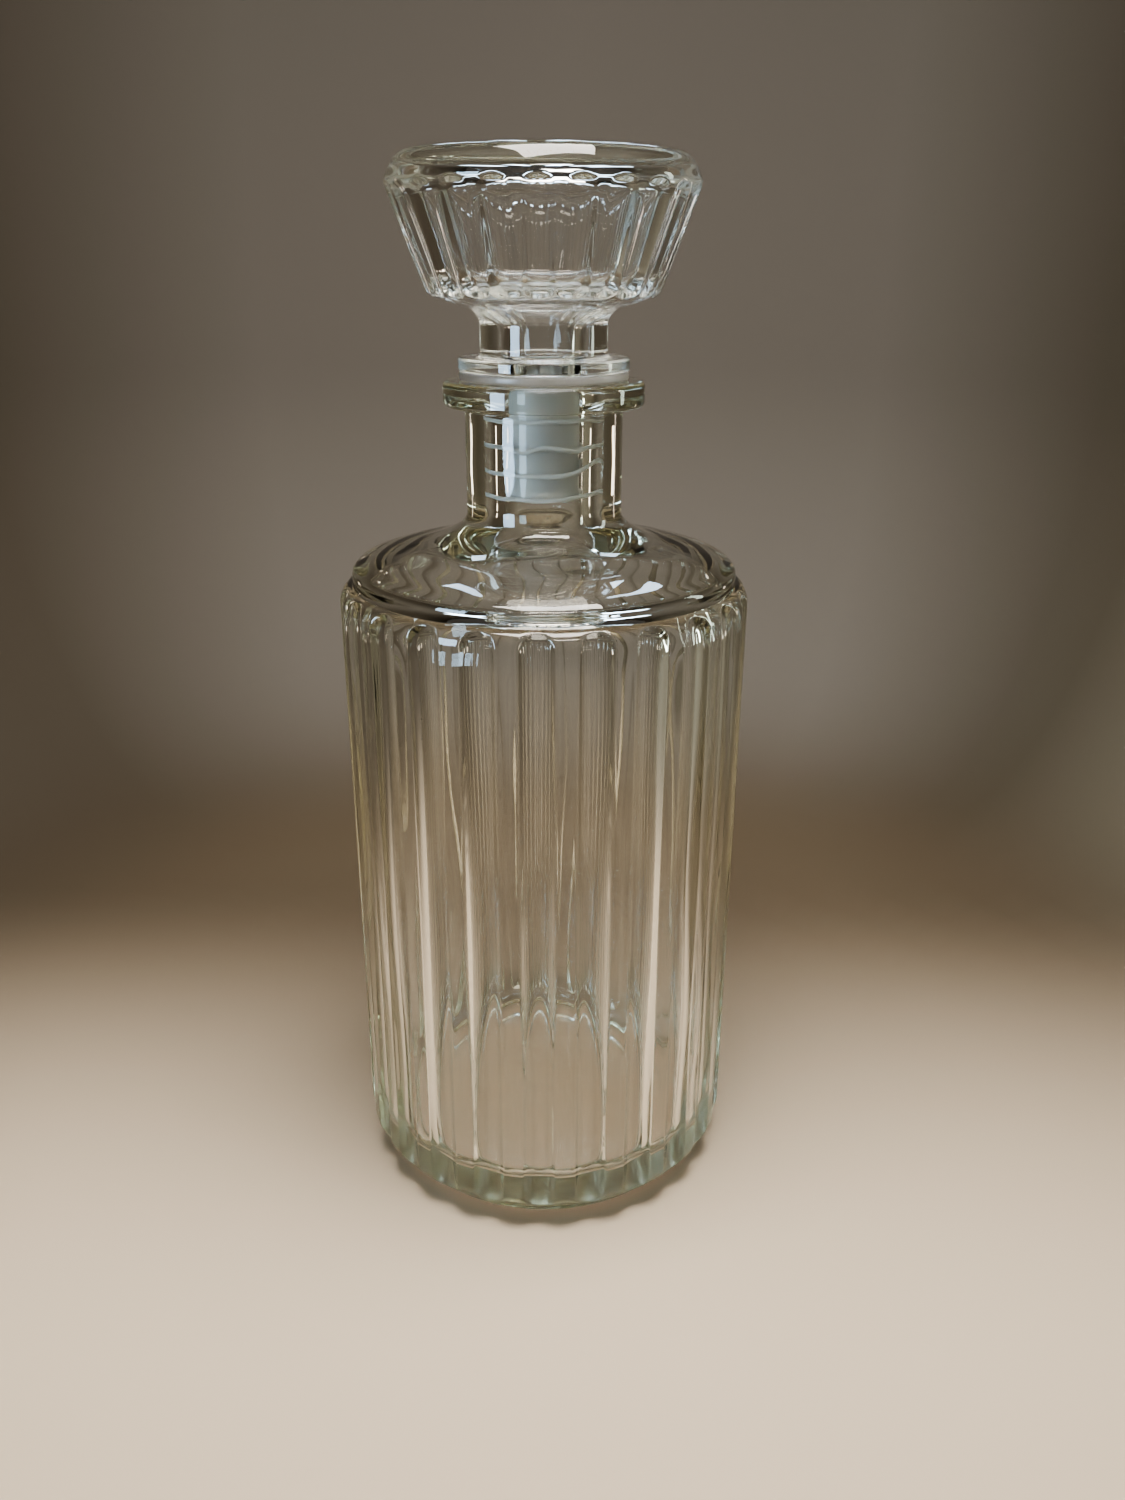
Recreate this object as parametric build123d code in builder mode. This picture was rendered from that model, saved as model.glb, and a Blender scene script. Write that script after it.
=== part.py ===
from build123d import *
from math import cos, radians, sin
import os

# Ribbed glass decanter with a hollow glass stopper and a plastic seal.
# Millimetres, +Z up, origin at the centre of the foot, front towards -Y.

# ---- driving dimensions ------------------------------------------------
flutes = 24                 # concave flutes round the body and the stopper
rib_r = 48.0                # radius over the rib crests
scoop_r = 5.0               # radius of each flute's concave scoop
scoop_axis_r = 51.0         # scoop centre, which leaves the flute floor at r 46
rib_edge = 0.9              # rounding of the rib edges

foot_r = 41.0               # outside radius of the smooth foot
foot_flat = (36.0, 39.4)    # flat ring that the decanter stands on
foot_top = 3.2              # top of the smooth foot
punt = 2.2                  # height of the shallow hollow under the base

heel_z, heel_a, heel_b = 11.5, 4.5, 6.0          # rib ends at the bottom
crown_z, crown_a, crown_b = 149.0, 3.3, 4.6     # rib ends at the top
band_r = 44.8               # smooth band above the ribs
band_top = 156.2            # where the shoulder starts to turn in

neck_r = 17.8               # outside of the neck
neck_low, neck_high = 169.6, 191.9
lip_r = 22.6                # outside of the lip
lip_low, lip_top = 193.1, 198.5
bore_r = 8.9                # bore of the neck

inside_r = 43.3             # inside radius of the body
floor_z = 12.0              # inside floor
floor_round = 6.5           # rounding between floor and wall

seal_gap = 0.05             # running clearance between the three pieces
seal_flange_r = 18.9
seal_flange_low, seal_flange_top = lip_top + seal_gap, 200.5
seal_end = 173.0            # lower end of the sleeve
sleeve_in, sleeve_out = 7.05, 7.95
fin_r = bore_r - seal_gap
fin_zs = (190.4, 184.6, 178.8, 173.45)

peg_r = sleeve_in - seal_gap
peg_in = 4.4
peg_end = 174.5
stop_flange_r = 19.1
stop_flange_low, stop_flange_top = seal_flange_top + seal_gap, 203.4
stem_r, stem_in = 14.1, 6.7
knob_low = (26.3, 218.6)    # lower end of the knob's flare
knob_high = (33.5, 240.3)   # upper end of the knob's flare
knob_top = 243.9
knob_ceiling = 239.3        # inside of the closed top
facet_depth = 0.75          # depth of the knob's scoops

turn = 360.0 / flutes


# ---- decanter body -----------------------------------------------------
with BuildPart() as decanter_body:
    # fluted prism: a disc less 24 scoops, with rounded rib edges
    with BuildSketch(Plane.XY.offset(foot_top + 0.6)) as fluted:
        Circle(rib_r)
        with PolarLocations(scoop_axis_r, flutes, start_angle=-90):
            Circle(scoop_r, mode=Mode.SUBTRACT)
        fillet(fluted.vertices().filter_by(
            lambda v: Vector(v.X, v.Y).length > rib_r - 0.5), rib_edge)
    extrude(amount=crown_z + crown_b + 1.0 - foot_top)
    # rib ends: keep only what lies inside the rounded envelope
    with BuildSketch(Plane.XZ) as envelope:
        with BuildLine():
            EllipticalCenterArc((rib_r - heel_a, heel_z), heel_a, heel_b,
                                start_angle=270, arc_size=90)
            EllipticalCenterArc((rib_r - crown_a, crown_z), crown_a, crown_b,
                                start_angle=0, arc_size=90)
            Line((rib_r, heel_z), (rib_r, crown_z))
            Polyline((rib_r - crown_a, crown_z + crown_b),
                     (0, crown_z + crown_b), (0, heel_z - heel_b),
                     (rib_r - heel_a, heel_z - heel_b))
        make_face()
    revolve(axis=Axis.Z, mode=Mode.INTERSECT)
    # smooth core: foot, band, shoulder, neck and lip
    with BuildSketch(Plane.XZ) as core:
        with BuildLine():
            ThreePointArc((0, punt), (19.0, punt * 0.70), (33.6, 0.5))
            Line((33.6, 0.5), (foot_flat[0], 0))
            Line((foot_flat[0], 0), (foot_flat[1], 0))
            ThreePointArc((foot_flat[1], 0), (foot_flat[1] + 1.13, 0.47),
                          (foot_r, 1.6))
            Line((foot_r, 1.6), (foot_r, foot_top))
            ThreePointArc((foot_r, foot_top), (foot_r + 0.5, foot_top + 1.1),
                          (foot_r + 1.6, foot_top + 1.8))
            Polyline((foot_r + 1.6, foot_top + 1.8), (rib_r - heel_a, heel_z - heel_b),
                     (band_r - 0.6, heel_z - heel_b + 1.0),
                     (band_r, heel_z - heel_b + 2.7), (band_r, band_top))
            Spline((band_r, band_top), (43.7, 157.9), (41.0, 159.2), (36.0, 160.7),
                   (30.0, 162.1), (24.0, 164.0), (20.3, 166.0), (18.5, 167.6),
                   (neck_r, neck_low), tangents=((0, 1), (0, 1)))
            Line((neck_r, neck_low), (neck_r, neck_high))
            ThreePointArc((neck_r, neck_high), (neck_r + 0.35, neck_high + 0.85),
                          (neck_r + 1.2, lip_low))
            Line((neck_r + 1.2, lip_low), (lip_r - 0.9, lip_low))
            ThreePointArc((lip_r - 0.9, lip_low), (lip_r - 0.264, lip_low + 0.264),
                          (lip_r, lip_low + 0.9))
            Line((lip_r, lip_low + 0.9), (lip_r, lip_top - 1.3))
            ThreePointArc((lip_r, lip_top - 1.3), (lip_r - 0.381, lip_top - 0.381),
                          (lip_r - 1.3, lip_top))
            Polyline((lip_r - 1.3, lip_top), (0, lip_top), (0, punt))
        make_face()
    revolve(axis=Axis.Z)
    # inside: rounded floor, straight wall, inner shoulder and neck bore
    with BuildSketch(Plane.XZ) as inside:
        with BuildLine():
            Spline((0, floor_z + 1.2), (18.0, floor_z + 0.85),
                   (inside_r - floor_round, floor_z), tangents=((1, 0), (1, 0)))
            ThreePointArc((inside_r - floor_round, floor_z),
                          (inside_r - floor_round * (1 - sin(radians(45))),
                           floor_z + floor_round * (1 - cos(radians(45)))),
                          (inside_r, floor_z + floor_round))
            Line((inside_r, floor_z + floor_round), (inside_r, 143.5))
            Spline((inside_r, 143.5), (42.2, 149.6), (39.0, 153.5), (33.0, 156.5),
                   (26.0, 158.6), (18.0, 160.8), (12.6, 163.2), (9.7, 166.5),
                   (bore_r, 170.3), tangents=((0, 1), (0, 1)))
            Line((bore_r, 170.3), (bore_r, lip_top - 1.3))
            ThreePointArc((bore_r, lip_top - 1.3), (bore_r + 0.381, lip_top - 0.381),
                          (bore_r + 1.3, lip_top))
            Polyline((bore_r + 1.3, lip_top), (bore_r + 1.3, lip_top + 2),
                     (0, lip_top + 2), (0, floor_z + 1.2))
        make_face()
    revolve(axis=Axis.Z, mode=Mode.SUBTRACT)

decanter_body.part.label = "decanter_body"


# ---- one scoop of the stopper's knob -----------------------------------
# A tapered round-nosed scoop that follows the flare and ends under the rim.
flare = Vector(knob_high[0] - knob_low[0], 0, knob_high[1] - knob_low[1]).normalized()
out = Vector(flare.Z, 0, -flare.X)
scoop_low_r, scoop_high_r = 6.4, 8.6
scoop_start = Vector(knob_low[0], 0, knob_low[1]) - flare * 6.0 \
    + out * (scoop_low_r * 0.93 - facet_depth)
scoop_stop = Vector(knob_high[0], 0, knob_high[1]) - flare * 5.6 \
    + out * (scoop_high_r - facet_depth)

with BuildPart() as scoop:
    with BuildSketch(Plane(origin=scoop_start, z_dir=(scoop_stop - scoop_start))):
        Circle(scoop_low_r)
    with BuildSketch(Plane(origin=scoop_stop, z_dir=(scoop_stop - scoop_start))):
        Circle(scoop_high_r)
    loft()
    with Locations(scoop_stop):
        Sphere(scoop_high_r)


# ---- glass stopper -----------------------------------------------------
with BuildPart() as glass_stopper:
    with BuildSketch(Plane.XZ) as outside:
        with BuildLine():
            Polyline((0, peg_end), (peg_r - 0.9, peg_end))
            ThreePointArc((peg_r - 0.9, peg_end), (peg_r - 0.264, peg_end + 0.264),
                          (peg_r, peg_end + 0.9))
            Polyline((peg_r, peg_end + 0.9), (peg_r, stop_flange_low),
                     (stop_flange_r - 0.6, stop_flange_low))
            ThreePointArc((stop_flange_r - 0.6, stop_flange_low),
                          (stop_flange_r - 0.176, stop_flange_low + 0.176),
                          (stop_flange_r, stop_flange_low + 0.6))
            Line((stop_flange_r, stop_flange_low + 0.6),
                 (stop_flange_r, stop_flange_top - 0.7))
            ThreePointArc((stop_flange_r, stop_flange_top - 0.7),
                          (stop_flange_r - 0.205, stop_flange_top - 0.205),
                          (stop_flange_r - 0.7, stop_flange_top))
            Line((stop_flange_r - 0.7, stop_flange_top), (stem_r + 1.0, stop_flange_top))
            ThreePointArc((stem_r + 1.0, stop_flange_top),
                          (stem_r + 0.293, stop_flange_top + 0.293),
                          (stem_r, stop_flange_top + 1.0))
            Line((stem_r, stop_flange_top + 1.0), (stem_r, 210.0))
            Spline((stem_r, 210.0), (15.2, 212.6), (18.4, 214.1), (22.4, 215.2),
                   (25.1, 216.5), knob_low,
                   tangents=((0, 1), (flare.X, flare.Z)))
            Line(knob_low, knob_high)
            Spline(knob_high, (33.45, 242.2), (32.2, 243.5), (30.0, knob_top),
                   tangents=((flare.X, flare.Z), (-1, 0)))
            Polyline((30.0, knob_top), (0, knob_top), (0, peg_end))
        make_face()
    revolve(axis=Axis.Z)
    with PolarLocations(0, flutes, start_angle=-90):
        add(scoop.part, mode=Mode.SUBTRACT)
    with BuildSketch(Plane.XZ) as hollow:
        with BuildLine():
            Polyline((0, peg_end - 1), (peg_in, peg_end - 1), (peg_in, 198.0))
            Spline((peg_in, 198.0), (5.4, 201.0), (stem_in, 204.6),
                   tangents=((0, 1), (0, 1)))
            Line((stem_in, 204.6), (stem_in, 209.6))
            Spline((stem_in, 209.6), (9.2, 213.9), (14.6, 216.9), (20.0, 219.0),
                   (22.6, 222.0), tangents=((0, 1), (flare.X, flare.Z)))
            Line((22.6, 222.0), (22.6 + 14.0 * flare.X / flare.Z, 236.0))
            Spline((22.6 + 14.0 * flare.X / flare.Z, 236.0), (26.4, 238.6),
                   (23.0, knob_ceiling), tangents=((flare.X, flare.Z), (-1, 0)))
            Polyline((23.0, knob_ceiling), (0, knob_ceiling), (0, peg_end - 1))
        make_face()
    revolve(axis=Axis.Z, mode=Mode.SUBTRACT)

glass_stopper.part.label = "glass_stopper"


# ---- plastic seal ------------------------------------------------------
with BuildPart() as stopper_seal:
    with BuildSketch(Plane.XZ) as sleeve:
        with BuildLine():
            Polyline((sleeve_in, seal_end), (sleeve_out, seal_end),
                     (sleeve_out, seal_flange_low), (seal_flange_r - 0.4, seal_flange_low),
                     (seal_flange_r, seal_flange_low + 0.4),
                     (seal_flange_r, seal_flange_top - 0.4),
                     (seal_flange_r - 0.4, seal_flange_top),
                     (sleeve_in, seal_flange_top), (sleeve_in, seal_end))
        make_face()
        for z in fin_zs:
            with BuildLine():
                Polyline((sleeve_out - 0.3, z - 0.45), (fin_r, z - 0.1), (fin_r, z + 0.25),
                         (sleeve_out - 0.3, z + 0.45), (sleeve_out - 0.3, z - 0.45))
            make_face()
    revolve(axis=Axis.Z)

stopper_seal.part.label = "stopper_seal"


# ---- export ------------------------------------------------------------
os.makedirs("parts", exist_ok=True)
export_step(decanter_body.part, "parts/decanter_body.step")
export_step(glass_stopper.part, "parts/glass_stopper.step")
export_step(stopper_seal.part, "parts/stopper_seal.step")
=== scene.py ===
import math

import bmesh
import bpy
import numpy as np
from mathutils import Matrix, Vector


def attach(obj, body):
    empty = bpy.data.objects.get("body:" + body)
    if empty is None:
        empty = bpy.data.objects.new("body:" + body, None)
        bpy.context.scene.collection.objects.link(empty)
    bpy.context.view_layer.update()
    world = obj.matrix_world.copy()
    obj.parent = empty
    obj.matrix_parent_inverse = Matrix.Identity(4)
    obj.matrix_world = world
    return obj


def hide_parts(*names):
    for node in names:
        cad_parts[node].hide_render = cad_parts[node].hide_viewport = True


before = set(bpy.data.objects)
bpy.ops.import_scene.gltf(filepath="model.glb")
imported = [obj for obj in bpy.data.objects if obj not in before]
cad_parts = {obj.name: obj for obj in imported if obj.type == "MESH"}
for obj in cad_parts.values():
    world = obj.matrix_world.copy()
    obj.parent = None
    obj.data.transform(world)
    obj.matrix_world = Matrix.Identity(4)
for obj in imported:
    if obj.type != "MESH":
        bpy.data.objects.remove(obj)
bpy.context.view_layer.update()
scene = bpy.context.scene

# ------------------------------------------------------------------------
# The ribbed glass decanter. Lengths below are in millimetres and are turned
# into metres when a mesh is made; +Z up, front towards -Y.
# ------------------------------------------------------------------------
FLUTES = 24
RIB_R, SCOOP_R, SCOOP_AXIS = 48.0, 5.0, 51.0
HEEL_Z, HEEL_A, HEEL_B = 11.5, 4.5, 6.0
CROWN_Z, CROWN_A, CROWN_B = 149.0, 3.3, 4.6
BAND_R = 44.8
LIP_R, LIP_TOP = 22.6, 198.5
BORE_R, NECK_R = 8.9, 17.8
INSIDE_R = 43.3
FIN_Z = (190.4, 184.6, 178.8, 173.45)
FIN_R = 8.96        # pressed lightly against the bore


# ---- curves in the (radius, height) plane -------------------------------
def arc3(a, b, c, n):
    """n+1 points of the arc through a, b and c."""
    (ax, ay), (bx, by), (cx, cy) = a, b, c
    d = 2 * (ax * (by - cy) + bx * (cy - ay) + cx * (ay - by))
    if abs(d) < 1e-9:
        return line(a, c, n)
    ux = ((ax * ax + ay * ay) * (by - cy) + (bx * bx + by * by) * (cy - ay)
          + (cx * cx + cy * cy) * (ay - by)) / d
    uy = ((ax * ax + ay * ay) * (cx - bx) + (bx * bx + by * by) * (ax - cx)
          + (cx * cx + cy * cy) * (bx - ax)) / d
    r = math.hypot(ax - ux, ay - uy)
    t0, t1, t2 = (math.atan2(y - uy, x - ux) for x, y in (a, b, c))
    turn = (t2 - t0) % (2 * math.pi)
    if (t1 - t0) % (2 * math.pi) > turn:
        turn -= 2 * math.pi
    t = t0 + turn * np.linspace(0, 1, n + 1)
    return np.stack([ux + r * np.cos(t), uy + r * np.sin(t)], 1)


def line(a, b, n=1):
    t = np.linspace(0, 1, n + 1)[:, None]
    return np.array(a, float) * (1 - t) + np.array(b, float) * t


def spline(points, t0, t1, n):
    """Cubic spline through the points with end tangents t0 and t1."""
    p = np.array(points, float)
    h = np.hypot(*np.diff(p, axis=0).T)
    m = len(p)
    a = np.zeros((m, m))
    b = np.zeros((m, 2))
    a[0, 0] = a[-1, -1] = 1
    b[0] = np.array(t0, float) / np.hypot(*t0)
    b[-1] = np.array(t1, float) / np.hypot(*t1)
    for i in range(1, m - 1):
        a[i, i - 1] = h[i]
        a[i, i] = 2 * (h[i] + h[i - 1])
        a[i, i + 1] = h[i - 1]
        b[i] = 3 * (h[i] * (p[i] - p[i - 1]) / h[i - 1] + h[i - 1] * (p[i + 1] - p[i]) / h[i])
    d = np.linalg.solve(a, b)
    s = np.concatenate([[0], np.cumsum(h)])
    u = np.linspace(0, s[-1], n + 1)
    i = np.clip(np.searchsorted(s, u, side="right") - 1, 0, m - 2)
    w = ((u - s[i]) / h[i])[:, None]
    hh = h[i][:, None]
    return ((2 * w**3 - 3 * w**2 + 1) * p[i] + (w**3 - 2 * w**2 + w) * hh * d[i]
            + (-2 * w**3 + 3 * w**2) * p[i + 1] + (w**3 - w**2) * hh * d[i + 1])


def chain(*parts):
    """The parts end to end, without their shared points."""
    out = [parts[0]]
    for p in parts[1:]:
        out.append(p[1:] if np.hypot(*(p[0] - out[-1][-1])) < 1e-6 else p)
    return np.concatenate(out)


def soften(p, radius, keep=()):
    """Rounds the corners of a polyline profile: each corner sharper than 20
    degrees is cut back by radius and bridged with a short arc."""
    out = [p[0]]
    for i in range(1, len(p) - 1):
        a, b, c = p[i - 1], p[i], p[i + 1]
        u, v = b - a, c - b
        lu, lv = np.hypot(*u), np.hypot(*v)
        cosine = float(np.dot(u, v) / max(lu * lv, 1e-12))
        if cosine > math.cos(math.radians(20)) or min(lu, lv) < 1e-4:
            out.append(b)
            continue
        cut = min(radius, 0.45 * lu, 0.45 * lv)
        s, e = b - u / lu * cut, b + v / lv * cut
        for t in np.linspace(0, 1, 6):
            out.append((1 - t) ** 2 * s + 2 * t * (1 - t) * b + t * t * e)
    out.append(p[-1])
    return np.array(out)


def smin(a, b, k):
    h = np.clip(0.5 + 0.5 * (b - a) / k, 0, 1)
    return b * (1 - h) + a * h - k * h * (1 - h)


def smax(a, b, k):
    return -smin(-a, -b, k)


def wave(theta, z, seed, turns, lengths, n=9):
    """A smooth seeded wander over angle and height, about -1 to 1. It closes
    round the circle because each term turns a whole number of times."""
    rng = np.random.default_rng(seed)
    out = 0
    total = 0
    for _ in range(n):
        k = int(rng.integers(turns[0], turns[1] + 1))
        f = 2 * math.pi / rng.uniform(*lengths) * rng.choice([-1, 1])
        ph = rng.uniform(0, 2 * math.pi)
        amp = rng.uniform(0.5, 1.0)
        out = out + amp * np.sin(k * theta + f * z + ph)
        total += amp * amp / 2
    return out / (1.7 * math.sqrt(total))


# ---- closed meshes of revolution-like rows ------------------------------
def columns(n_sector, edge=None):
    """Angles round the whole circle, FLUTES sectors of n_sector steps, the
    first sector centred on the front. edge packs more steps near that angle
    in degrees from each flute's centre."""
    half = 180.0 / FLUTES
    if edge is None:
        d = np.linspace(-half, half, n_sector + 1)[:-1]
    else:
        fine = np.linspace(-half, half, 4001)
        w = 1.0 + 2.2 * np.exp(-((np.abs(fine) - edge) / 0.9) ** 2)
        s = np.concatenate([[0], np.cumsum((w[1:] + w[:-1]) / 2)])
        d = np.interp(np.linspace(0, s[-1], n_sector + 1)[:-1], s, fine)
    every = (np.arange(FLUTES)[:, None] * (360.0 / FLUTES) + d[None, :]).ravel()
    return np.radians(every), np.tile(d, FLUTES)


def ring_mesh(name, rows, material, closed=False):
    """A closed skin from rows of points, each (n, 3) in mm, with n the same,
    or a row of one third or half as many where the rows change, or a single
    point at an end. closed joins the last row to the first."""
    verts, faces, start = [], [], []
    for r in rows:
        start.append(sum(len(v) for v in verts))
        verts.append(np.atleast_2d(r))
    pairs = list(zip(range(len(rows) - 1), range(1, len(rows))))
    if closed:
        pairs.append((len(rows) - 1, 0))
    for i, j in pairs:
        n, m = len(verts[i]), len(verts[j])
        a, b = start[i], start[j]
        if n == m and n > 1:
            for k in range(n):
                q = (k + 1) % n
                faces.append((a + k, a + q, b + q, b + k))
        elif m == 1:
            faces.extend((a + k, a + (k + 1) % n, b) for k in range(n))
        elif n == 1:
            faces.extend((a, b + (k + 1) % m, b + k) for k in range(m))
        elif n > m:
            s = n // m
            for k in range(m):
                q = (k + 1) % m
                base = a + k * s
                for t in range(s):
                    faces.append((base + t, a + (k * s + t + 1) % n,
                                  b + (q if t >= s // 2 + s % 2 else k)))
                faces.append((base + s // 2 + s % 2, b + q, b + k))
        else:
            s = m // n
            for k in range(n):
                q = (k + 1) % n
                base = b + k * s
                for t in range(s):
                    faces.append((base + t, a + (q if t >= s // 2 + s % 2 else k),
                                  b + (k * s + t + 1) % m))
                faces.append((base + s // 2 + s % 2, a + k, a + q))
    points = np.concatenate(verts) * 0.001
    mesh = bpy.data.meshes.new(name)
    mesh.from_pydata(points.tolist(), [], faces)
    mesh.validate()
    mesh.update()
    mesh.shade_smooth()
    o = bpy.data.objects.new(name, mesh)
    scene.collection.objects.link(o)
    mesh.materials.append(material)
    bm = bmesh.new()
    bm.from_mesh(mesh)
    bmesh.ops.recalc_face_normals(bm, faces=bm.faces)
    volume = bm.calc_volume(signed=True)
    if volume < 0:
        bmesh.ops.reverse_faces(bm, faces=bm.faces)
    bm.to_mesh(mesh)
    bm.free()
    return o


def ring(theta, r, z):
    """Row of points at angle theta from the front, radius r, height z."""
    r = np.broadcast_to(r, theta.shape)
    z = np.broadcast_to(z, theta.shape)
    return np.stack([r * np.sin(theta), -r * np.cos(theta), z], 1)


def add_bubbles(o, spots, seed):
    """Small closed air bubbles inside the glass wall, as (angle in degrees,
    radius from the axis, height, half size, stretch) in mm. Their faces look
    inwards, because the air is inside them."""
    bm = bmesh.new()
    bm.from_mesh(o.data)
    for az, r, z, size, tall in spots:
        a = math.radians(az)
        at = Vector((r * math.sin(a), -r * math.cos(a), z)) * 0.001
        m = Matrix.Translation(at) @ Matrix.Diagonal((size, size, size * tall, 1)).to_4x4()
        got = bmesh.ops.create_icosphere(bm, subdivisions=2, radius=0.001, matrix=m)
        fs = {f for v in got["verts"] for f in v.link_faces}
        for f in fs:
            f.smooth = True
        bmesh.ops.reverse_faces(bm, faces=list(fs))
    bm.to_mesh(o.data)
    bm.free()


# ---- materials ----------------------------------------------------------
def nodes_of(name):
    m = bpy.data.materials.new(name)
    m.use_nodes = True
    nt = m.node_tree
    nt.nodes.clear()
    out = nt.nodes.new("ShaderNodeOutputMaterial")
    return m, nt, out


def glass(name, tint, absorb, density, rough, ripple, stipple=False):
    """Clear fire-polished glass: faint handling haze in the roughness, a very
    slight ripple left by the mould, and a body tint that shows where it is
    thick."""
    m, nt, out = nodes_of(name)
    n = nt.nodes
    b = n.new("ShaderNodeBsdfPrincipled")
    b.inputs["Base Color"].default_value = (*tint, 1)
    b.inputs["Transmission Weight"].default_value = 1.0
    b.inputs["IOR"].default_value = 1.51
    b.inputs["Metallic"].default_value = 0.0
    tc = n.new("ShaderNodeTexCoord")
    # smears and handling haze: long soft patches, broken up by fine specks
    mp = n.new("ShaderNodeMapping")
    mp.inputs["Scale"].default_value = (1.0, 1.0, 0.45)
    smear = n.new("ShaderNodeTexNoise")
    smear.inputs["Scale"].default_value = 38.0
    smear.inputs["Detail"].default_value = 5.0
    smear.inputs["Roughness"].default_value = 0.62
    speck = n.new("ShaderNodeTexNoise")
    speck.inputs["Scale"].default_value = 900.0
    speck.inputs["Detail"].default_value = 2.0
    ramp = n.new("ShaderNodeMapRange")
    ramp.inputs["From Min"].default_value = 0.48
    ramp.inputs["From Max"].default_value = 0.78
    ramp.inputs["To Min"].default_value = rough[0]
    ramp.inputs["To Max"].default_value = rough[1]
    mix = n.new("ShaderNodeMath")
    mix.operation = "MULTIPLY_ADD"
    mix.inputs[1].default_value = 0.18
    nt.links.new(tc.outputs["Object"], mp.inputs["Vector"])
    nt.links.new(mp.outputs["Vector"], smear.inputs["Vector"])
    nt.links.new(tc.outputs["Object"], speck.inputs["Vector"])
    nt.links.new(speck.outputs["Fac"], mix.inputs[0])
    nt.links.new(smear.outputs["Fac"], mix.inputs[2])
    nt.links.new(mix.outputs[0], ramp.inputs["Value"])
    nt.links.new(ramp.outputs["Result"], b.inputs["Roughness"])
    if stipple:
        # the underside is stippled by the mould's base plate and scuffed
        sep = n.new("ShaderNodeSeparateXYZ")
        flat = n.new("ShaderNodeVectorMath")
        flat.operation = "MULTIPLY"
        flat.inputs[1].default_value = (1, 1, 0)
        size = n.new("ShaderNodeVectorMath")
        size.operation = "LENGTH"
        near = n.new("ShaderNodeMapRange")
        near.inputs["From Min"].default_value = 0.0402
        near.inputs["From Max"].default_value = 0.0390
        down = n.new("ShaderNodeMapRange")
        down.inputs["From Min"].default_value = 0.0030
        down.inputs["From Max"].default_value = 0.0025
        mask = n.new("ShaderNodeMath")
        mask.operation = "MULTIPLY"
        wear = n.new("ShaderNodeMapRange")
        wear.inputs["To Min"].default_value = 0.08
        wear.inputs["To Max"].default_value = 0.24
        rough_mix = n.new("ShaderNodeMix")
        nt.links.new(tc.outputs["Object"], sep.inputs[0])
        nt.links.new(tc.outputs["Object"], flat.inputs[0])
        nt.links.new(flat.outputs["Vector"], size.inputs[0])
        nt.links.new(size.outputs["Value"], near.inputs["Value"])
        nt.links.new(sep.outputs["Z"], down.inputs["Value"])
        nt.links.new(near.outputs["Result"], mask.inputs[0])
        nt.links.new(down.outputs["Result"], mask.inputs[1])
        nt.links.new(speck.outputs["Fac"], wear.inputs["Value"])
        nt.links.new(mask.outputs[0], rough_mix.inputs["Factor"])
        nt.links.new(ramp.outputs["Result"], rough_mix.inputs["A"])
        nt.links.new(wear.outputs["Result"], rough_mix.inputs["B"])
        nt.links.new(rough_mix.outputs["Result"], b.inputs["Roughness"])
    # ripple from the mould
    rip = n.new("ShaderNodeTexNoise")
    rip.inputs["Scale"].default_value = 160.0
    rip.inputs["Detail"].default_value = 2.0
    mr = n.new("ShaderNodeMapping")
    mr.inputs["Scale"].default_value = (1.0, 1.0, 0.3)
    bump = n.new("ShaderNodeBump")
    bump.inputs["Strength"].default_value = ripple
    bump.inputs["Distance"].default_value = 0.0004
    nt.links.new(tc.outputs["Object"], mr.inputs["Vector"])
    nt.links.new(mr.outputs["Vector"], rip.inputs["Vector"])
    nt.links.new(rip.outputs["Fac"], bump.inputs["Height"])
    nt.links.new(bump.outputs["Normal"], b.inputs["Normal"])
    nt.links.new(b.outputs["BSDF"], out.inputs["Surface"])
    v = n.new("ShaderNodeVolumeAbsorption")
    v.inputs["Color"].default_value = (*absorb, 1)
    v.inputs["Density"].default_value = density
    nt.links.new(v.outputs["Volume"], out.inputs["Volume"])
    return m


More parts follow.
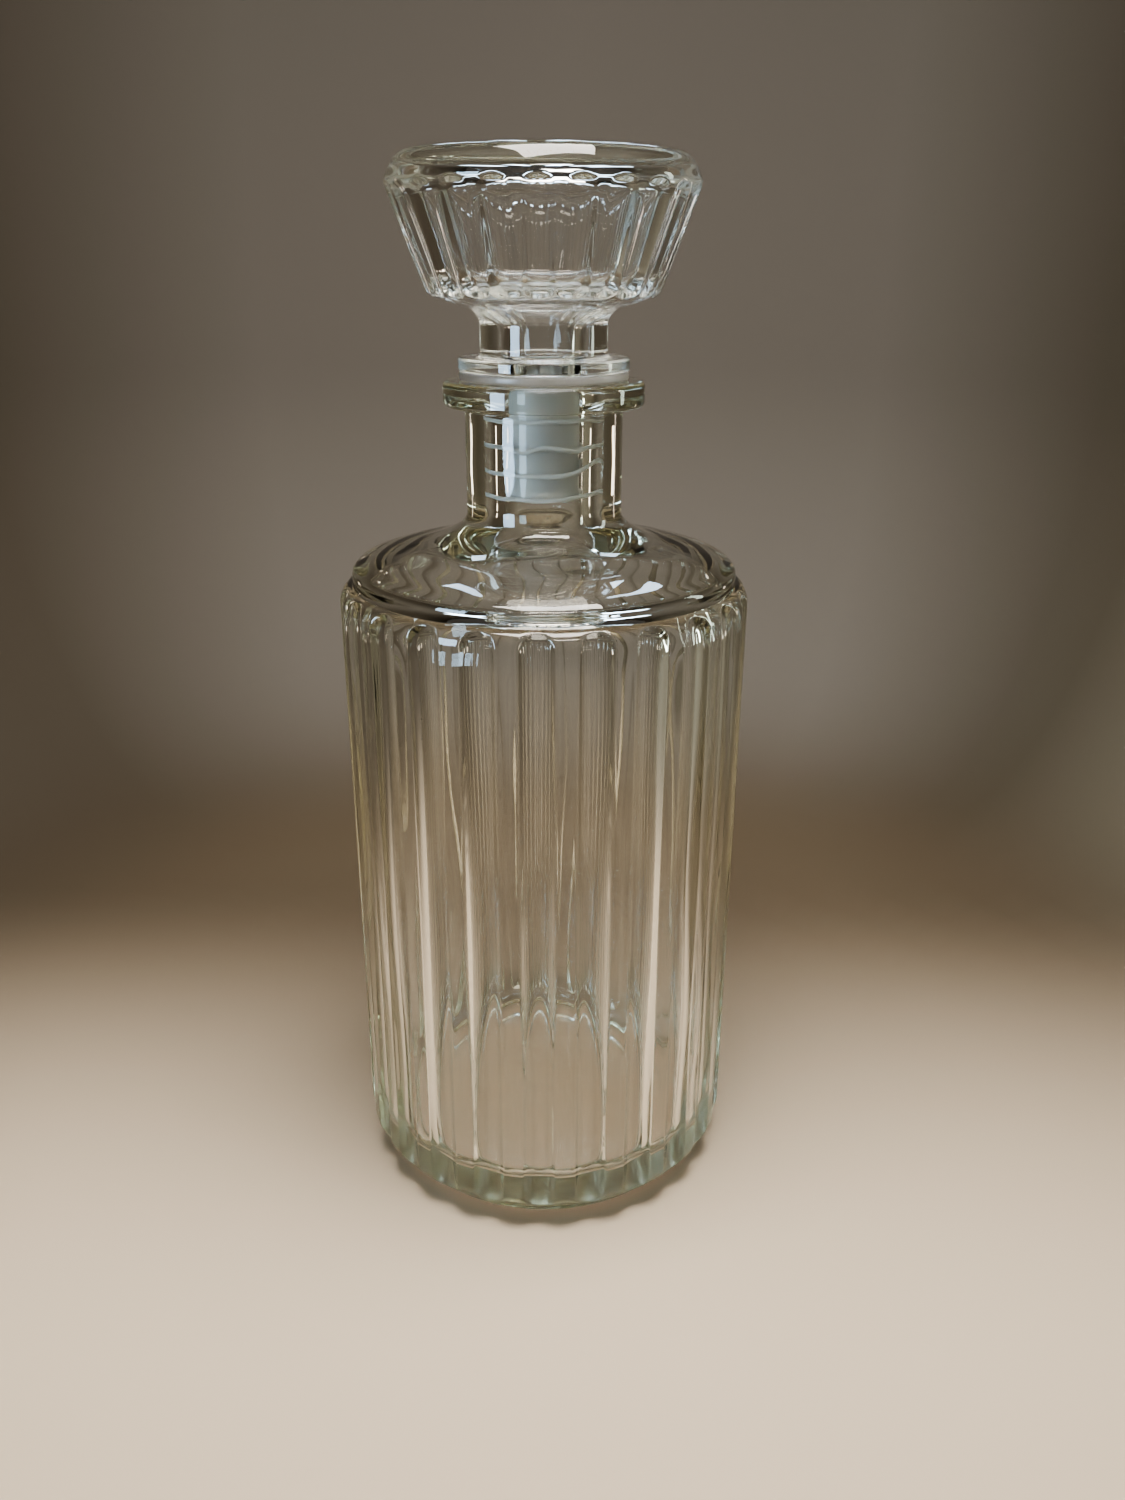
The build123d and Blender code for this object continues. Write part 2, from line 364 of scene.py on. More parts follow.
def milky(name):
    """Natural polyethylene: milky, lets light through, waxy surface with
    faint moulding cloudiness."""
    m, nt, out = nodes_of(name)
    n = nt.nodes
    b = n.new("ShaderNodeBsdfPrincipled")
    tc = n.new("ShaderNodeTexCoord")
    cloud = n.new("ShaderNodeTexNoise")
    cloud.inputs["Scale"].default_value = 220.0
    cloud.inputs["Detail"].default_value = 4.0
    ramp = n.new("ShaderNodeValToRGB")
    ramp.color_ramp.elements[0].position = 0.3
    ramp.color_ramp.elements[0].color = (0.86, 0.87, 0.84, 1)
    ramp.color_ramp.elements[1].position = 0.72
    ramp.color_ramp.elements[1].color = (0.97, 0.97, 0.94, 1)
    nt.links.new(tc.outputs["Object"], cloud.inputs["Vector"])
    nt.links.new(cloud.outputs["Fac"], ramp.inputs["Fac"])
    # the thin sleeve looks greyer than the flange and the fins' pressed edges
    flat = n.new("ShaderNodeVectorMath")
    flat.operation = "MULTIPLY"
    flat.inputs[1].default_value = (1, 1, 0)
    size = n.new("ShaderNodeVectorMath")
    size.operation = "LENGTH"
    thick = n.new("ShaderNodeMapRange")
    thick.inputs["From Min"].default_value = 0.0081
    thick.inputs["From Max"].default_value = 0.0087
    both = n.new("ShaderNodeMix")
    both.data_type = "RGBA"
    both.inputs["A"].default_value = (0.92, 0.915, 0.88, 1)
    nt.links.new(tc.outputs["Object"], flat.inputs[0])
    nt.links.new(flat.outputs["Vector"], size.inputs[0])
    nt.links.new(size.outputs["Value"], thick.inputs["Value"])
    nt.links.new(thick.outputs["Result"], both.inputs["Factor"])
    nt.links.new(ramp.outputs["Color"], both.inputs["B"])
    nt.links.new(both.outputs["Result"], b.inputs["Base Color"])
    clear = n.new("ShaderNodeMapRange")
    clear.inputs["To Min"].default_value = 0.50
    clear.inputs["To Max"].default_value = 0.12
    nt.links.new(thick.outputs["Result"], clear.inputs["Value"])
    nt.links.new(clear.outputs["Result"], b.inputs["Transmission Weight"])
    b.inputs["IOR"].default_value = 1.5
    b.inputs["Subsurface Weight"].default_value = 0.3
    b.inputs["Subsurface Radius"].default_value = (0.002, 0.002, 0.0018)
    b.inputs["Subsurface Scale"].default_value = 1.0
    fine = n.new("ShaderNodeTexNoise")
    fine.inputs["Scale"].default_value = 1500.0
    fine.inputs["Detail"].default_value = 2.0
    rr = n.new("ShaderNodeMapRange")
    rr.inputs["To Min"].default_value = 0.26
    rr.inputs["To Max"].default_value = 0.42
    nt.links.new(tc.outputs["Object"], fine.inputs["Vector"])
    nt.links.new(fine.outputs["Fac"], rr.inputs["Value"])
    nt.links.new(rr.outputs["Result"], b.inputs["Roughness"])
    bump = n.new("ShaderNodeBump")
    bump.inputs["Strength"].default_value = 0.15
    bump.inputs["Distance"].default_value = 0.0001
    nt.links.new(fine.outputs["Fac"], bump.inputs["Height"])
    nt.links.new(bump.outputs["Normal"], b.inputs["Normal"])
    nt.links.new(b.outputs["BSDF"], out.inputs["Surface"])
    return m


body_glass = glass("body_glass", (0.988, 0.990, 0.984), (0.785, 0.795, 0.665), 27.0,
                   (0.0, 0.035), 0.02, stipple=True)
stopper_glass = glass("stopper_glass", (0.990, 0.991, 0.987), (0.79, 0.80, 0.71), 15.0,
                      (0.0, 0.03), 0.02)
seal_plastic = milky("seal_plastic")


# ---- decanter body ------------------------------------------------------
def prism_radius(d_deg, rib=RIB_R):
    """Radius of the fluted prism at d degrees from a flute's centre."""
    s = np.radians(d_deg)
    disc = SCOOP_R**2 - (SCOOP_AXIS * np.sin(s)) ** 2
    near = np.where(disc > 0, SCOOP_AXIS * np.cos(s) - np.sqrt(np.maximum(disc, 0)), 60.0)
    return smin(near, np.full_like(near, rib), 0.32)


def envelope(z):
    r = np.full_like(z, RIB_R)
    low = z < HEEL_Z
    r[low] = RIB_R - HEEL_A + HEEL_A * np.sqrt(
        np.clip(1 - ((HEEL_Z - z[low]) / HEEL_B) ** 2, 0, 1))
    high = z > CROWN_Z
    r[high] = RIB_R - CROWN_A + CROWN_A * np.sqrt(
        np.clip(1 - ((z[high] - CROWN_Z) / CROWN_B) ** 2, 0, 1))
    r[z > CROWN_Z + CROWN_B] = 0
    r[z < HEEL_Z - HEEL_B] = 0
    return r


def outer_core_side():
    """Smooth core from the foot's side up to the top of the band."""
    return chain(
        line((41.0, 1.6), (41.0, 3.2), 3),
        arc3((41.0, 3.2), (41.5, 4.3), (42.6, 5.0), 6),
        line((42.6, 5.0), (43.5, 5.5)),
        line((43.5, 5.5), (44.2, 6.5)),
        line((44.2, 6.5), (BAND_R, 8.2)),
        line((BAND_R, 8.2), (BAND_R, 156.2)),
    )


theta, d_deg = columns(20, edge=4.63)
theta_in = theta[::2]
prism = prism_radius(d_deg)
core_side = outer_core_side()

# seams of the two-part mould, on the ribs at the left and right
seam = sum(np.exp(-((((theta - c + math.pi) % (2 * math.pi)) - math.pi)
                    * 48.0 / 0.22) ** 2) for c in (math.radians(97.5), math.radians(-82.5)))

rows = []
# underside: shallow hollow, standing ring with stipple-free roll, foot
under = chain(
    arc3((0.001, 2.2), (19.0, 1.54), (33.6, 0.5), 12),
    line((33.6, 0.5), (36.0, 0.0), 2),
    line((36.0, 0.0), (39.4, 0.0), 2),
    arc3((39.4, 0.0), (40.53, 0.47), (41.0, 1.6), 8),
)
under = soften(under, 0.5)
rows.append(np.array([[0, 0, 2.2]]))
small = theta[::4]
for r, z in under[1:]:
    if r < 30:
        rows.append(ring(small, r, z))
    else:
        rows.append(ring(theta, r, z))

# ribbed side
z_heel = np.concatenate([
    np.linspace(1.9, 5.2, 8),
    HEEL_Z - HEEL_B * np.cos(np.linspace(0.06, math.pi / 2, 18)),
])
z_mid = np.linspace(HEEL_Z, CROWN_Z, 29)[1:-1]
z_crown = np.concatenate([
    CROWN_Z + (CROWN_B + 0.05) * np.sin(np.linspace(0, math.pi / 2, 22)),
    np.linspace(153.75, 156.2, 7),
])
for z in np.concatenate([z_heel, z_mid, z_crown]):
    core = np.interp(z, core_side[:, 1], core_side[:, 0])
    env = float(envelope(np.array([z]))[0])
    if env > 0:
        # the edge between crown or heel and flute is rounded, and so is the
        # crease where the ribs run into the band
        ribs = smin(prism, np.full_like(prism, env), 0.36)
        r = smax(ribs, np.full_like(ribs, core), 0.22)
    else:
        r = np.full_like(theta, core)
    inside_ribs = np.clip((z - 7.0) / 6, 0, 1) * np.clip((152.5 - z) / 6, 0, 1)
    r = r + 0.030 * inside_ribs * wave(theta, z, 11, (1, 9), (25, 90))
    r = r - 0.012 * inside_ribs * (1 + wave(theta, z, 12, (20, 50), (18, 60)))
    r = np.minimum(r + 0.05 * seam * np.clip((z - 6) / 2, 0, 1), RIB_R - 0.002)
    rows.append(ring(theta, r, z))

# shoulder, neck and lip
upper = chain(
    spline([(BAND_R, 156.2), (43.7, 157.9), (41.0, 159.2), (36.0, 160.7), (30.0, 162.1),
            (24.0, 164.0), (20.3, 166.0), (18.5, 167.6), (NECK_R, 169.6)],
           (0, 1), (0, 1), 38),
    line((NECK_R, 169.6), (NECK_R, 191.9), 10),
    arc3((NECK_R, 191.9), (NECK_R + 0.35, 192.75), (NECK_R + 1.2, 193.1), 8),
    line((NECK_R + 1.2, 193.1), (LIP_R - 0.9, 193.1), 3),
    arc3((LIP_R - 0.9, 193.1), (LIP_R - 0.264, 193.364), (LIP_R, 194.0), 8),
    line((LIP_R, 194.0), (LIP_R, 197.2), 4),
    arc3((LIP_R, 197.2), (LIP_R - 0.381, 198.119), (LIP_R - 1.3, 198.5), 10),
    line((LIP_R - 1.3, 198.5), (BORE_R + 1.3, 198.5), 6),
    arc3((BORE_R + 1.3, 198.5), (BORE_R + 0.381, 198.119), (BORE_R, 197.2), 8),
)
theta_all = theta
for r0, z0 in upper[1:]:
    # past the edge of the shoulder half the columns are enough
    theta = theta_all if r0 > 42 and z0 < 160 else theta_in
    seam_here = seam if r0 > 42 and z0 < 160 else seam[::2]
    on_shoulder = np.clip((z0 - 157) / 2, 0, 1) * np.clip((168.5 - z0) / 3, 0, 1)
    on_neck = np.clip((z0 - 168) / 3, 0, 1) * np.clip((192.5 - z0) / 3, 0, 1)
    dz = 0.055 * on_shoulder * wave(theta, r0, 21, (2, 12), (9, 30))
    dr = 0.030 * on_neck * wave(theta, z0, 22, (2, 9), (8, 30)) - 0.03 * on_neck
    if r0 > 20:
        dz = dz + 0.05 * seam_here * on_shoulder
    dr = dr + 0.04 * on_neck * sum(
        np.exp(-((((theta - c + math.pi) % (2 * math.pi)) - math.pi) * 18.0 / 0.2) ** 2)
        for c in (math.radians(97.5), math.radians(-82.5)))
    rows.append(ring(theta, r0 + dr, z0 + dz))

# inside of the neck, shoulder, wall and floor
inner = chain(
    line((BORE_R, 197.2), (BORE_R, 170.3), 10),
    spline([(BORE_R, 170.3), (9.7, 166.5), (12.6, 163.2), (18.0, 160.8), (26.0, 158.6),
            (33.0, 156.5), (39.0, 153.5), (42.2, 149.6), (INSIDE_R, 143.5)],
           (0, -1), (0, -1), 36),
    line((INSIDE_R, 143.5), (INSIDE_R, 18.5), 32),
    arc3((INSIDE_R, 18.5), (INSIDE_R - 1.904, 13.904), (36.8, 12.0), 14),
    spline([(36.8, 12.0), (18.0, 12.85), (0.001, 13.2)], (-1, 0), (-1, 0), 16),
)
flute_phase = 24 * theta_in
for r0, z0 in inner[1:-1]:
    wall = np.clip((z0 - 13.5) / 10, 0, 1) * np.clip((153 - z0) / 14, 0, 1)
    floor = np.clip((38.5 - r0) / 6, 0, 1) * (z0 < 16)
    shoulder = np.clip((z0 - 150) / 6, 0, 1) * np.clip((168 - z0) / 5, 0, 1) * (r0 > 9.5)
    bore = float(r0 < 9.2 and z0 > 170)
    # the wall is a little uneven, as blown glass is, and the flutes print
    # through it faintly
    low = 0.22 + 0.20 * np.clip((110 - z0) / 40, 0, 1)
    dr = wall * (low * wave(theta_in, z0, 31, (2, 7), (70, 200))
                 + 0.19 * wave(theta_in, z0, 32, (6, 15), (60, 170))
                 - 0.07 * np.cos(flute_phase))
    dr = dr + bore * 0.012 * wave(theta_in, z0, 33, (2, 6), (8, 30)) + bore * 0.012
    dz = floor * (0.10 * wave(theta_in, r0, 34, (1, 5), (12, 40)) * min(1, r0 / 8))
    dz = dz + shoulder * 0.13 * np.clip((r0 - 12) / 10, 0, 1) * wave(
        theta_in, r0, 35, (2, 9), (9, 28))
    if r0 < 20 and z0 < 16:
        rows.append(ring(theta_in[::2], r0 + dr[::2], z0 + dz[::2]))
    else:
        rows.append(ring(theta_in, r0 + dr, z0 + dz))
rows.append(np.array([[0, 0, 13.2]]))

body = ring_mesh("decanter_body_glass", rows, body_glass)
add_bubbles(body, [
    (-33.6, 45.2, 131.5, 0.22, 1.6), (-34.0, 45.1, 127.0, 0.16, 1.5),
    (-33.1, 45.4, 123.2, 0.12, 1.4), (41.0, 44.9, 88.0, 0.14, 1.7),
    (118.0, 45.3, 101.0, 0.2, 1.8), (-142.0, 45.0, 62.0, 0.16, 1.5),
    (-12.0, 21.0, 7.2, 0.30, 0.7), (48.0, 30.5, 6.4, 0.22, 0.8),
    (164.0, 26.0, 8.0, 0.26, 0.7), (-95.0, 33.0, 5.2, 0.18, 0.8),
    (75.0, 31.0, 158.6, 0.18, 0.6),
], 5)
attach(body, "bottle")
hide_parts("decanter_body")


# ---- glass stopper ------------------------------------------------------
KNOB_LOW, KNOB_HIGH = np.array((26.3, 218.6)), np.array((33.4, 237.6))
flare = (KNOB_HIGH - KNOB_LOW) / np.hypot(*(KNOB_HIGH - KNOB_LOW))
outward = np.array((flare[1], -flare[0]))
S_LOW, S_HIGH, FACET = 6.4, 8.6, 0.75
s_start = KNOB_LOW - flare * 6.0 + outward * (S_LOW * 0.93 - FACET)
s_stop = KNOB_HIGH - flare * 3.0 + outward * (S_HIGH - FACET)


def scoop_radius(d_deg_, z):
    """Least radius at which a point at d degrees and height z lies outside
    the knob's round-nosed tapered scoop, found by stepping and halving."""
    a = np.radians(d_deg_)
    p0 = np.array((s_start[0], 0, s_start[1]))
    axis = np.array((s_stop[0], 0, s_stop[1])) - p0
    length = np.linalg.norm(axis)
    axis = axis / length

    def inside(r):
        q = np.stack([r * np.cos(a), r * np.sin(a), np.full_like(a, z)], 1) - p0
        t = q @ axis
        perp = np.sqrt(np.maximum((q**2).sum(1) - t * t, 0))
        rad = S_LOW + (S_HIGH - S_LOW) * np.clip(t / length, 0, 1)
        side = perp - rad
        cap = np.sqrt(perp**2 + (t - length) ** 2) - S_HIGH
        bottom = -t
        return np.where(t > length, cap, np.maximum(side, bottom))

    # walk outward from the axis to the first point inside the scoop
    grid = np.linspace(12.0, 37.0, 126)
    vals = np.stack([inside(np.full_like(a, g)) for g in grid], 0)
    neg = vals < 0
    first = np.argmax(neg, axis=0)
    hit = neg.any(axis=0)
    lo = grid[np.maximum(first - 1, 0)]
    hi = grid[first]
    for _ in range(26):
        mid = (lo + hi) / 2
        isin = inside(mid) < 0
        hi = np.where(isin, mid, hi)
        lo = np.where(isin, lo, mid)
    return np.where(hit, (lo + hi) / 2, 60.0)


th_s, dd_s = columns(22, edge=5.6)
one = dd_s[:22]

rows = []
low_out = chain(
    line((4.4, 174.5), (6.1, 174.5), 2),
    arc3((6.1, 174.5), (6.736, 174.764), (7.0, 175.4), 5),
    line((7.0, 175.4), (7.0, 200.55), 8),
    line((7.0, 200.55), (18.5, 200.55), 6),
    arc3((18.5, 200.55), (18.924, 200.726), (19.1, 201.15), 6),
    line((19.1, 201.15), (19.1, 202.7), 3),
    arc3((19.1, 202.7), (18.895, 203.195), (18.4, 203.4), 6),
    line((18.4, 203.4), (15.1, 203.4), 3),
    arc3((15.1, 203.4), (14.393, 203.693), (14.1, 204.4), 8),
    line((14.1, 204.4), (14.1, 210.0), 6),
)
low_out = soften(low_out, 0.25)
coarse = th_s[::2]
for r0, z0 in low_out[:-1]:
    rows.append(ring(coarse, r0, z0))
mid_out = chain(
    spline([(14.1, 210.0), (15.2, 212.6), (18.4, 214.1), (22.4, 215.2), (25.1, 216.5),
            tuple(KNOB_LOW)], (0, 1), tuple(flare), 44),
    line(tuple(KNOB_LOW), tuple(KNOB_HIGH), 34),
    spline([tuple(KNOB_HIGH), (33.40, 238.9), (32.35, 241.3), (31.0, 243.1), (29.2, 243.9)],
           tuple(flare), (-1, 0), 24),
)
rows.append(ring(coarse, *low_out[-1]))
for r0, z0 in mid_out[1:-1]:
    if z0 < 242.6:
        s = np.tile(scoop_radius(one, z0), FLUTES)
        r = smin(s, np.full_like(s, r0), 0.38)
    else:
        r = np.full_like(th_s, r0)
    r = r + 0.02 * np.clip((z0 - 212) / 4, 0, 1) * (wave(th_s, z0, 41, (2, 9), (9, 40)) - 1)
    if z0 < 211.5:
        rows.append(ring(coarse, r[::2], z0))
    else:
        rows.append(ring(th_s, r, z0))
# top: nearly flat, with a slight sink and ripple
tops = [(28.4, 243.88), (27.0, 243.82), (24.0, 243.73), (20.0, 243.66),
        (15.0, 243.62), (10.0, 243.60), (5.0, 243.59)]
for r0, z0 in tops:
    t = th_s if r0 > 22 else coarse
    amp = 0.04 * min(1.0, r0 / 12) * (r0 < 28)
    rows.append(ring(t, r0, z0 + amp * (wave(t, r0, 42, (1, 5), (14, 40)) - 1) * 0.8))
rows.append(np.array([[0, 0, 243.58]]))
outer_rows = rows

hollow = chain(
    line((4.4, 174.5), (4.4, 198.0), 8),
    spline([(4.4, 198.0), (5.4, 201.0), (6.7, 204.6)], (0, 1), (0, 1), 10),
    line((6.7, 204.6), (6.7, 209.6), 4),
    spline([(6.7, 209.6), (9.2, 213.9), (14.6, 216.9), (20.0, 219.0), (22.6, 222.0)],
           (0, 1), tuple(flare), 34),
    line((22.6, 222.0), (27.245, 236.0), 16),
    spline([(27.245, 236.0), (26.4, 238.6), (23.0, 239.3)], tuple(flare), (-1, 0), 16),
    line((23.0, 239.3), (0.001, 239.3), 8),
)
inner_rows = []
for r0, z0 in hollow[1:-1]:
    k = np.clip((z0 - 208) / 6, 0, 1) * np.clip((238.5 - z0) / 2, 0, 1)
    dr = k * (0.11 * wave(coarse, z0, 51, (1, 5), (16, 60))
              - 0.10 * np.cos(24 * coarse))
    flat = float(z0 > 239.2) * min(1.0, r0 / 10)
    dz = flat * 0.05 * wave(coarse, r0, 52, (1, 4), (16, 40))
    inner_rows.append(ring(coarse, r0 + dr, z0 + dz))
inner_rows.append(np.array([[0, 0, 239.3]]))
# one closed skin: top centre down the outside, round the peg's mouth, up the
# hollow to its ceiling
stopper = ring_mesh("glass_stopper_hollow", outer_rows[::-1] + inner_rows, stopper_glass)
add_bubbles(stopper, [(22.0, 20.5, 241.6, 0.2, 0.6), (-71.0, 27.0, 226.0, 0.13, 1.4),
                      (139.0, 10.2, 207.4, 0.16, 1.5)], 6)
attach(stopper, "stopper")
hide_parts("glass_stopper")


# ---- plastic seal -------------------------------------------------------
th_f = np.linspace(0, 2 * math.pi, 240, endpoint=False)


def fin_offset(theta_, k):
    """How far a fin's bent edge wanders up or down round the neck, in mm."""
    az = (np.degrees(theta_) + 180) % 360 - 180
    if k == 0:
        rise = 0.35 * np.exp(-((az - 20) / 35) ** 2)
    elif k == 1:
        rise = -0.9 * np.exp(-((az + 22) / 14) ** 2) + 0.5 * np.exp(-((az - 5) / 16) ** 2) \
            - 0.7 * np.exp(-((az - 42) / 12) ** 2)
    elif k == 2:
        rise = 2.6 / (1 + np.exp(-(az - 52) / 9)) * np.exp(-((np.maximum(az, 75) - 75) / 40) ** 2)
    else:
        rise = 0.8 / (1 + np.exp(-(az - 30) / 14)) * np.exp(-((np.maximum(az, 80) - 80) / 45) ** 2)
    return rise + 0.16 * wave(theta_, k * 7.0, 60 + k, (2, 9), (20, 60))


def seal_rows():
    out = []
    out += [(7.05, 200.5), (7.05, 198.0), (7.05, 190.0), (7.05, 182.0), (7.05, 173.1)]
    prof = [("p", r, z) for r, z in out]
    prof.append(("p", 7.25, 172.95))
    fins = sorted(enumerate(FIN_Z), key=lambda f: f[1])
    for n, (k, z) in enumerate(fins):
        root_low, root_high = z - 0.32, z + 0.32
        if n == 0:
            prof.append(("p", 7.70, 173.0))
        else:
            prof.append(("p", 7.92, root_low - 0.5))
            prof.append(("p", 7.95, root_low - 0.12))
        prof += [("f", 8.10, root_low, k, 0.05), ("f", 8.50, z - 0.22, k, 0.45),
                 ("f", 8.82, z - 0.34, k, 0.9), ("f", FIN_R, z - 0.26, k, 1.0),
                 ("f", FIN_R, z + 0.62, k, 1.0), ("f", 8.82, z + 0.66, k, 0.95),
                 ("f", 8.52, z + 0.30, k, 0.45), ("f", 8.08, root_high, k, 0.05)]
        prof.append(("p", 7.95, root_high + 0.2))
        prof.append(("p", 7.92, root_high + 0.7))
    prof += [("p", 7.92, 194.0), ("p", 7.95, 197.6), ("p", 8.02, 198.3), ("p", 8.2, 198.55),
             ("p", 12.0, 198.55), ("p", 18.3, 198.56), ("p", 18.65, 198.66),
             ("p", 18.86, 198.88), ("p", 18.9, 199.2), ("p", 18.9, 199.8),
             ("p", 18.86, 200.15), ("p", 18.68, 200.38), ("p", 18.4, 200.48),
             ("p", 12.0, 200.5)]
    return prof


rows = []
for p in seal_rows():
    r0, z0 = p[1], p[2]
    if p[0] == "f":
        z = z0 + fin_offset(th_f, p[3]) * p[4]
        rows.append(ring(th_f, np.full_like(th_f, r0), z))
    else:
        rows.append(ring(th_f, np.full_like(th_f, r0), np.full_like(th_f, z0)))
seal = ring_mesh("stopper_seal_plastic", rows, seal_plastic, closed=True)
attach(seal, "seal")
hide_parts("stopper_seal")


# ---- studio -------------------------------------------------------------
# a round sweep: pale floor that curves up into a wall, with painted light and
# shade in its colours; the wall runs from taupe behind the bottle to dark behind the camera
WALL_R, FLOOR_R, WALL_TOP = 0.44, 0.27, 0.80
cove = WALL_R - FLOOR_R
profile = chain(
    line((0.001, 0.0), (0.038, 0.0), 1),
    line((0.038, 0.0), (0.044, 0.0), 1),
    line((0.044, 0.0), (FLOOR_R, 0.0), 10),
    arc3((FLOOR_R, 0.0), (FLOOR_R + cove * math.sin(math.pi / 4),
                          cove * (1 - math.cos(math.pi / 4))), (WALL_R, cove), 16),
    line((WALL_R, cove), (WALL_R, WALL_TOP), 8),
)
th_w = np.linspace(0, 2 * math.pi, 96, endpoint=False)
verts, faces = [(0.0, 0.0, 0.0)], []
for r, z in profile[1:]:
    verts += [(r * math.sin(t), -r * math.cos(t), z) for t in th_w]
n = len(th_w)
for k in range(n):
    faces.append((0, 1 + k, 1 + (k + 1) % n))
for i in range(len(profile) - 2):
    a, b = 1 + i * n, 1 + (i + 1) * n
    for k in range(n):
        q = (k + 1) % n
        faces.append((a + k, b + k, b + q, a + q))
mesh = bpy.data.meshes.new("studio_sweep")
mesh.from_pydata([(x, y, z - 0.00002) for x, y, z in verts], [], faces)
mesh.update()
mesh.shade_smooth()


def smooth(a, b, x):
    t = min(max((x - a) / (b - a), 0), 1)
    return t * t * (3 - 2 * t)


def painted_light_tone(x, y, z):
    az = math.degrees(math.atan2(x, -y))
    # painted light and shade on the wall by angle: a painted lit band at the right (about 85 to
    # 118 degrees), painted shade at the back left and back right (about 140 degrees), darker
    # towards the camera
    stops = [(-180, (0.20, 0.188, 0.172)), (-157, (0.18, 0.168, 0.152)),
             (-138, (0.090, 0.078, 0.062)), (-100, (0.100, 0.088, 0.072)),
             (-45, (0.110, 0.100, 0.088)), (0, (0.11, 0.105, 0.096)), (50, (0.13, 0.128, 0.115)),
             (85, (0.24, 0.24, 0.205)), (118, (0.20, 0.19, 0.155)), (140, (0.085, 0.076, 0.06)),
             (157, (0.18, 0.170, 0.155)), (180, (0.20, 0.188, 0.172))]
    wall = [np.interp(az, [p[0] for p in stops], [p[1][c] for p in stops]) for c in range(3)]
    r = math.hypot(x, y)
    # painted light: a warm pale patch on the floor under the bottle stands in for light let
    # through the glass base
    if r < 0.041:
        return 0.92, 0.68, 0.50
    # painted shade: the floor is palest in front and falls away evenly towards the back, and its
    # sides are darkened too
    away = smooth(-0.09, 0.13, y)
    edge = 1 - 0.30 * smooth(0.07, 0.26, abs(x)) * (0.3 + 0.7 * away)
    ground = [(p + (q - p) * away) * edge
              for p, q in zip((0.68, 0.58, 0.46), (0.120, 0.096, 0.069))]
    up = smooth(0.19, 0.37, r)
    # painted shade: the wall darkens towards its top
    fade = 1 - 0.5 * smooth(0.05, 0.55, z)
    return [g + (w * fade - g) * up for g, w in zip(ground, wall)]


tone = mesh.color_attributes.new("tone", "FLOAT_COLOR", "POINT")
tone.data.foreach_set("color", [c for v in verts for c in (*painted_light_tone(*v), 1.0)])
sweep = bpy.data.objects.new("studio_sweep", mesh)
scene.collection.objects.link(sweep)
paper, nt, out = nodes_of("studio_paper")
pb = nt.nodes.new("ShaderNodeBsdfDiffuse")
attr = nt.nodes.new("ShaderNodeAttribute")
attr.attribute_name = "tone"
nt.links.new(attr.outputs["Color"], pb.inputs["Color"])
nt.links.new(pb.outputs["BSDF"], out.inputs["Surface"])
mesh.materials.append(paper)

world = bpy.data.worlds.new("studio_world")
scene.world = world
world.use_nodes = True
world.node_tree.nodes["Background"].inputs[0].default_value = (0.050, 0.047, 0.044, 1)
world.node_tree.nodes["Background"].inputs[1].default_value = 1.0


def softbox(name, at, aim, size, watts, colour, sheen=False):
    """An area light that the camera doesn't see. One with sheen shows only
    in the glass and adds nothing to the light on the paper."""
    light = bpy.data.lights.new(name, "AREA")
    light.shape = "RECTANGLE"
    light.size, light.size_y = size
    light.energy = watts
    light.color = colour
    o = bpy.data.objects.new(name, light)
    scene.collection.objects.link(o)
    o.location = at
    o.rotation_mode = "QUATERNION"
    o.rotation_quaternion = (Vector(aim) - Vector(at)).to_track_quat("-Z", "Y")
    o.visible_camera = False
    o.visible_diffuse = not sheen
    return o


def at_az(az, r, z):
    a = math.radians(az)
    return (r * math.sin(a), -r * math.cos(a), z)


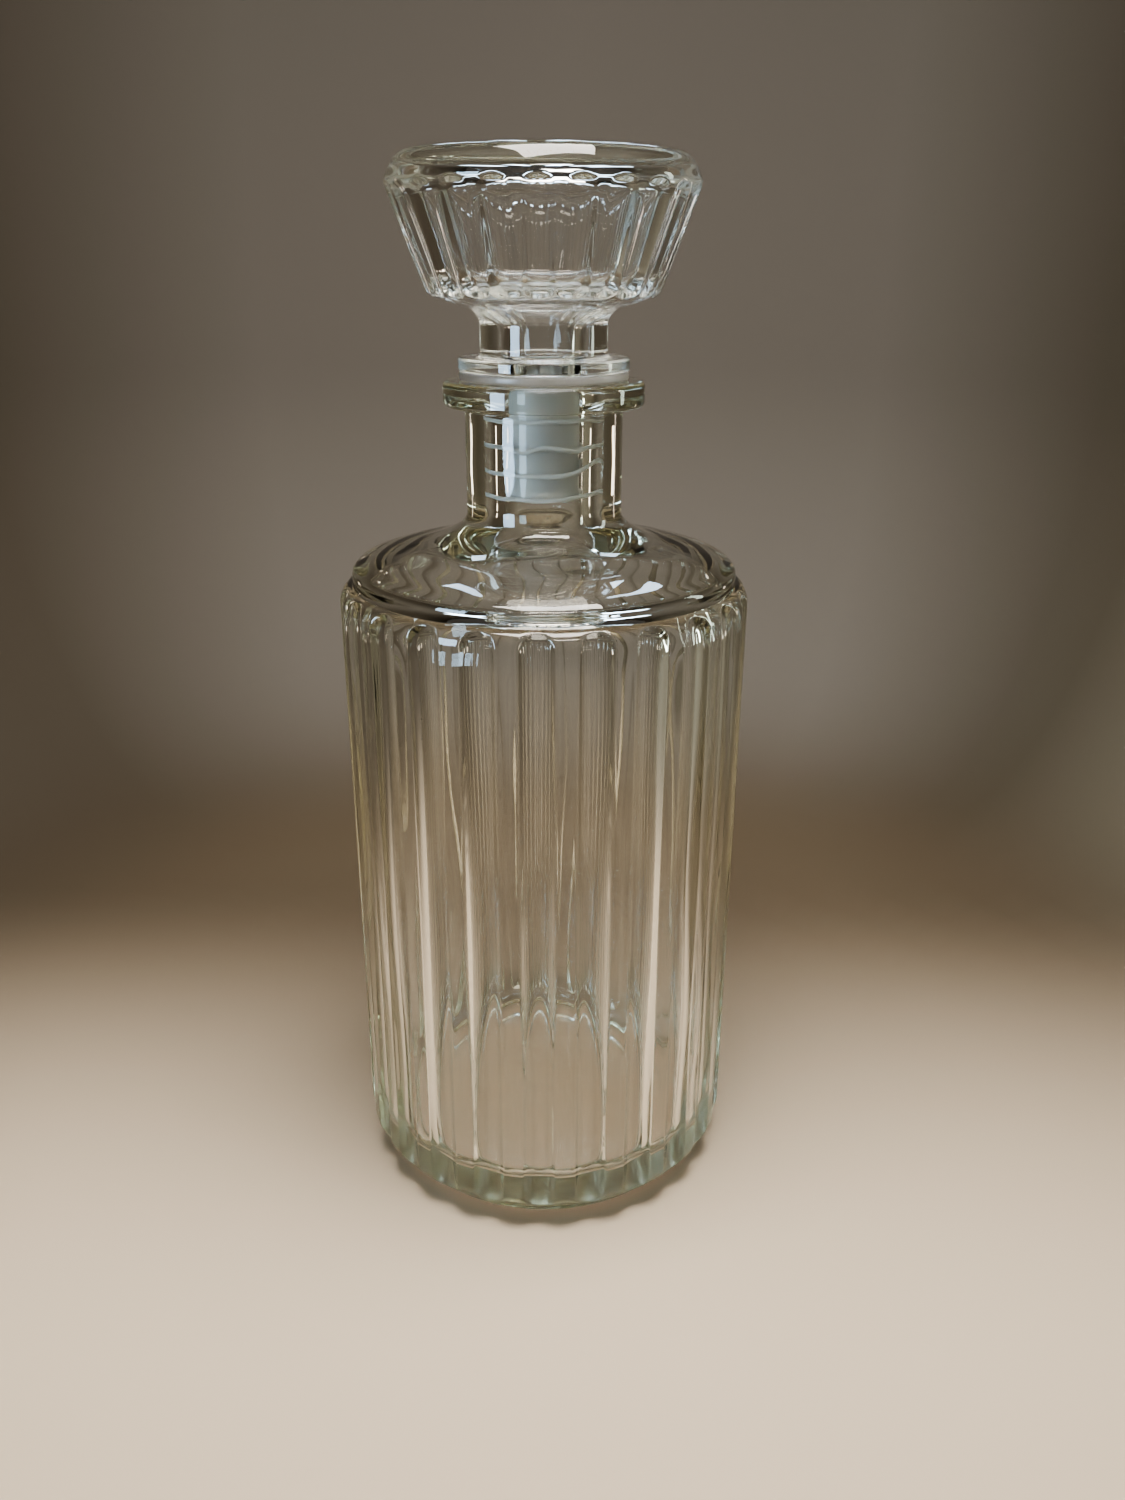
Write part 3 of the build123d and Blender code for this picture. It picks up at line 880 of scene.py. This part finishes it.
softbox("top_soft", (0.03, -0.10, 0.70), (0, -0.02, 0.0), (0.34, 0.28), 7.5,
        (1.0, 0.94, 0.86))
softbox("window_left", at_az(-50, 0.42, 0.18), (0, 0, 0.15), (0.13, 0.26), 2.6, (0.54, 0.76, 1.0),
        True)
softbox("lamp_high", at_az(8, 0.38, 0.55), (0, 0, 0.16), (0.22, 0.03), 0.6, (1.0, 0.92, 0.82),
        True)
softbox("right_strip", at_az(98, 0.42, 0.22), (0, 0, 0.12), (0.05, 0.30), 0.50, (0.86, 1.0, 0.89),
        True)
softbox("back_left", at_az(-130, 0.42, 0.07), (0, 0, 0.08), (0.03, 0.14), 0.060, (1.0, 0.86, 0.72),
        True)
softbox("back_right", at_az(126, 0.42, 0.07), (0, 0, 0.08), (0.03, 0.14), 0.065, (1.0, 0.87, 0.74),
        True)
# narrow panes, high behind, that the sloping shoulder mirrors as wavy streaks
for name, az, wide, watts in (("pane_1", -158, 0.030, 0.42), ("pane_2", -171, 0.022, 0.34),
                              ("pane_3", 178, 0.034, 0.50), ("pane_4", 168, 0.020, 0.32),
                              ("pane_5", 159, 0.028, 0.40)):
    softbox(name, at_az(az, 0.41, 0.56), (0, 0, 0.16), (wide, 0.32), watts, (0.62, 0.80, 1.0),
            True)

# ---- camera -------------------------------------------------------------
cam_data = bpy.data.cameras.new("camera")
camera = bpy.data.objects.new("camera", cam_data)
scene.collection.objects.link(camera)
cam_data.lens = 28.92
cam_data.sensor_width = 36.0
cam_data.sensor_fit = "AUTO"
cam_data.dof.use_dof = False
cam_data.clip_start = 0.01
cam_data.clip_end = 20.0
phase = math.radians(1.07)
place = Matrix.Rotation(phase, 4, "Z")
side, back, high, pitch, roll = 0.00442, 0.2802, 0.2220, math.radians(21.88), math.radians(0.2)
eye = place @ Vector((side, -back, high))
forward = place @ Vector((0, math.cos(pitch), -math.sin(pitch)))
camera.rotation_mode = "QUATERNION"
camera.location = eye
look = forward.to_track_quat("-Z", "Y")
camera.rotation_quaternion = look @ Matrix.Rotation(roll, 4, "Z").to_quaternion()
scene.camera = camera

# paths long enough for four walls of glass
scene.cycles.max_bounces = 40
scene.cycles.transmission_bounces = 40
scene.cycles.glossy_bounces = 12
scene.cycles.diffuse_bounces = 4
scene.cycles.transparent_max_bounces = 16
scene.cycles.sample_clamp_indirect = 8.0
scene.cycles.blur_glossy = 0.6
scene.view_settings.view_transform = "AgX"
scene.view_settings.look = "AgX - Medium High Contrast"
scene.view_settings.exposure = 0.0
